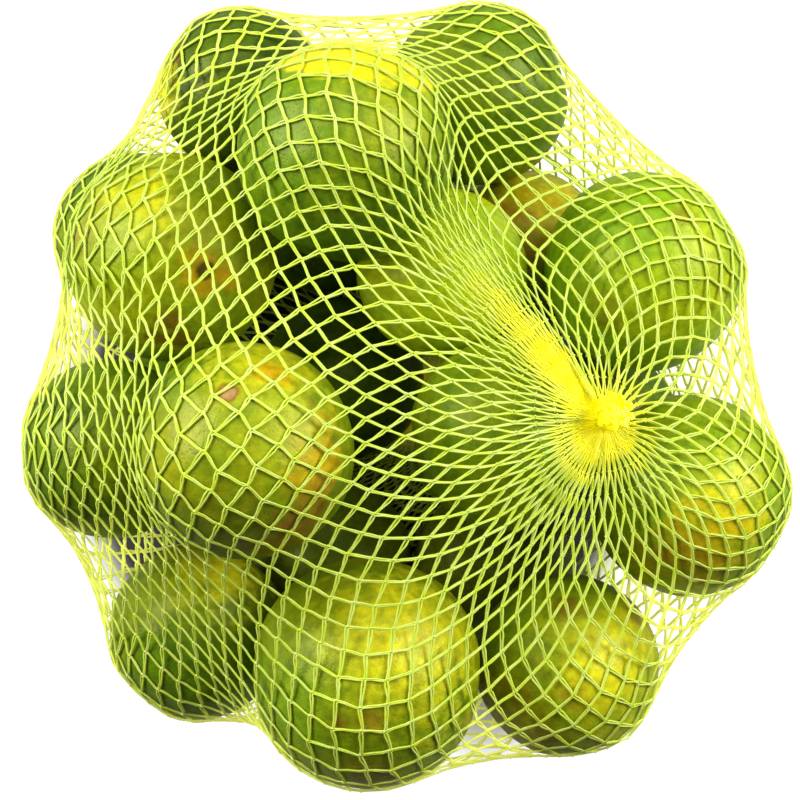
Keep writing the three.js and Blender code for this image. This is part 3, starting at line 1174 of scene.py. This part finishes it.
# The stage


def table_material(look):
    """A white table, with painted shade under the pack and at the front, and painted yellowish light where
    it is seen through the net.

    The painted shade is part of its colour, and its glow is seen by the camera but lights nothing.
    """
    material, tree, surface = new_material("white_table")
    position = tree.nodes.new("ShaderNodeTexCoord").outputs["Object"]
    away = calculate_vector(tree, "DISTANCE", position, PACK_SHADE)["Value"]
    front = calculate_vector(tree, "DISTANCE", position, FRONT_SHADE)["Value"]
    open_front = map_range(tree, front, *FRONT_SHADE_ENDS, FRONT_SHADE_LIGHT, 1.0)
    open_table = calculate(tree, "MULTIPLY", map_range(tree, away, *PACK_SHADE_ENDS), open_front)
    oval = calculate_vector(tree, "MULTIPLY", position, NET_OVAL)["Vector"]
    reach = calculate_vector(tree, "LENGTH", oval)["Value"]
    seen = tree.nodes.new("ShaderNodeLightPath").outputs["Is Camera Ray"]
    glow = calculate(tree, "MULTIPLY", open_table, TABLE_GLOW)
    set_sockets(tree, surface, {
        "Base Color": blend_colours(tree, open_table, SHADE, opaque(look.floor)),
        "Roughness": 0.8,
        "Emission Color": blend_colours(
            tree, map_range(tree, reach, *NET_OVAL_ENDS), opaque(look.under), WHITE
        ),
        "Emission Strength": calculate(tree, "MULTIPLY", glow, seen),
    })
    material.cycles.emission_sampling = "NONE"
    return material


def add_softbox(softbox, power):
    bpy.ops.object.light_add(type="AREA", location=softbox.place)
    light = bpy.context.object
    light.name = softbox.name
    light.data.shape = "RECTANGLE"
    light.data.size = softbox.width
    light.data.size_y = softbox.height
    light.data.energy = power
    aim = Vector(LIT_PLACE) - Vector(softbox.place)
    light.rotation_euler = aim.to_track_quat("-Z", "Y").to_euler()


def add_camera(scene):
    bpy.ops.object.camera_add(location=Vector(CAMERA_PLACE) * MM, rotation=(0, 0, 0))
    camera = bpy.context.object
    camera.name = "camera"
    camera.data.lens = LENS
    camera.data.sensor_width = SENSOR
    camera.data.clip_start = 0.01
    scene.camera = camera
    scene.view_settings.view_transform = "Standard"


class OBJECT_OT_set_stage(bpy.types.Operator):
    """Sets the white table, the soft light and the camera"""

    bl_idname = "object.set_net_stage"
    bl_label = "Set stage"

    def execute(self, context):
        look = context.scene.stage_look
        bpy.ops.object.select_all(action="DESELECT")
        bpy.ops.mesh.primitive_plane_add(size=8.0)
        floor = context.object
        floor.name = "white_table"
        floor.data.materials.append(table_material(look))
        for softbox in SOFTBOXES:
            add_softbox(softbox, getattr(look, softbox.power))
        world = bpy.data.worlds.new("studio")
        world.use_nodes = True
        background = world.node_tree.nodes["Background"]
        background.inputs["Color"].default_value = WHITE
        background.inputs["Strength"].default_value = ROOM_LIGHT
        context.scene.world = world
        add_camera(context.scene)
        return {"FINISHED"}


class VIEW3D_PT_net_of_oranges(bpy.types.Panel):
    bl_label = "Net of oranges"
    bl_space_type = "VIEW_3D"
    bl_region_type = "UI"
    bl_category = "Net of oranges"

    def draw(self, context):
        scene = context.scene
        for title, group, operator in (
            ("Oranges", scene.peel_colours, OBJECT_OT_heap_oranges),
            ("Net", scene.net_sizes, OBJECT_OT_knit_net),
            ("Stage", scene.stage_look, OBJECT_OT_set_stage),
        ):
            box = self.layout.box()
            box.label(text=title)
            for name in group.bl_rna.properties.keys():
                if name not in ("rna_type", "name"):
                    box.prop(group, name)
            box.operator(operator.bl_idname)


CLASSES = (
    NetSizes,
    PeelColours,
    StageLook,
    OBJECT_OT_heap_oranges,
    OBJECT_OT_knit_net,
    OBJECT_OT_set_stage,
    VIEW3D_PT_net_of_oranges,
)


def register():
    for cls in CLASSES:
        bpy.utils.register_class(cls)
    bpy.types.Scene.net_sizes = PointerProperty(type=NetSizes)
    bpy.types.Scene.peel_colours = PointerProperty(type=PeelColours)
    bpy.types.Scene.stage_look = PointerProperty(type=StageLook)


def unregister():
    del bpy.types.Scene.stage_look
    del bpy.types.Scene.peel_colours
    del bpy.types.Scene.net_sizes
    for cls in reversed(CLASSES):
        bpy.utils.unregister_class(cls)


def main():
    register()
    bpy.ops.object.select_all(action="DESELECT")
    bpy.ops.object.heap_oranges()
    bpy.ops.object.knit_net()
    bpy.ops.object.set_net_stage()


if __name__ == "__main__":
    main()
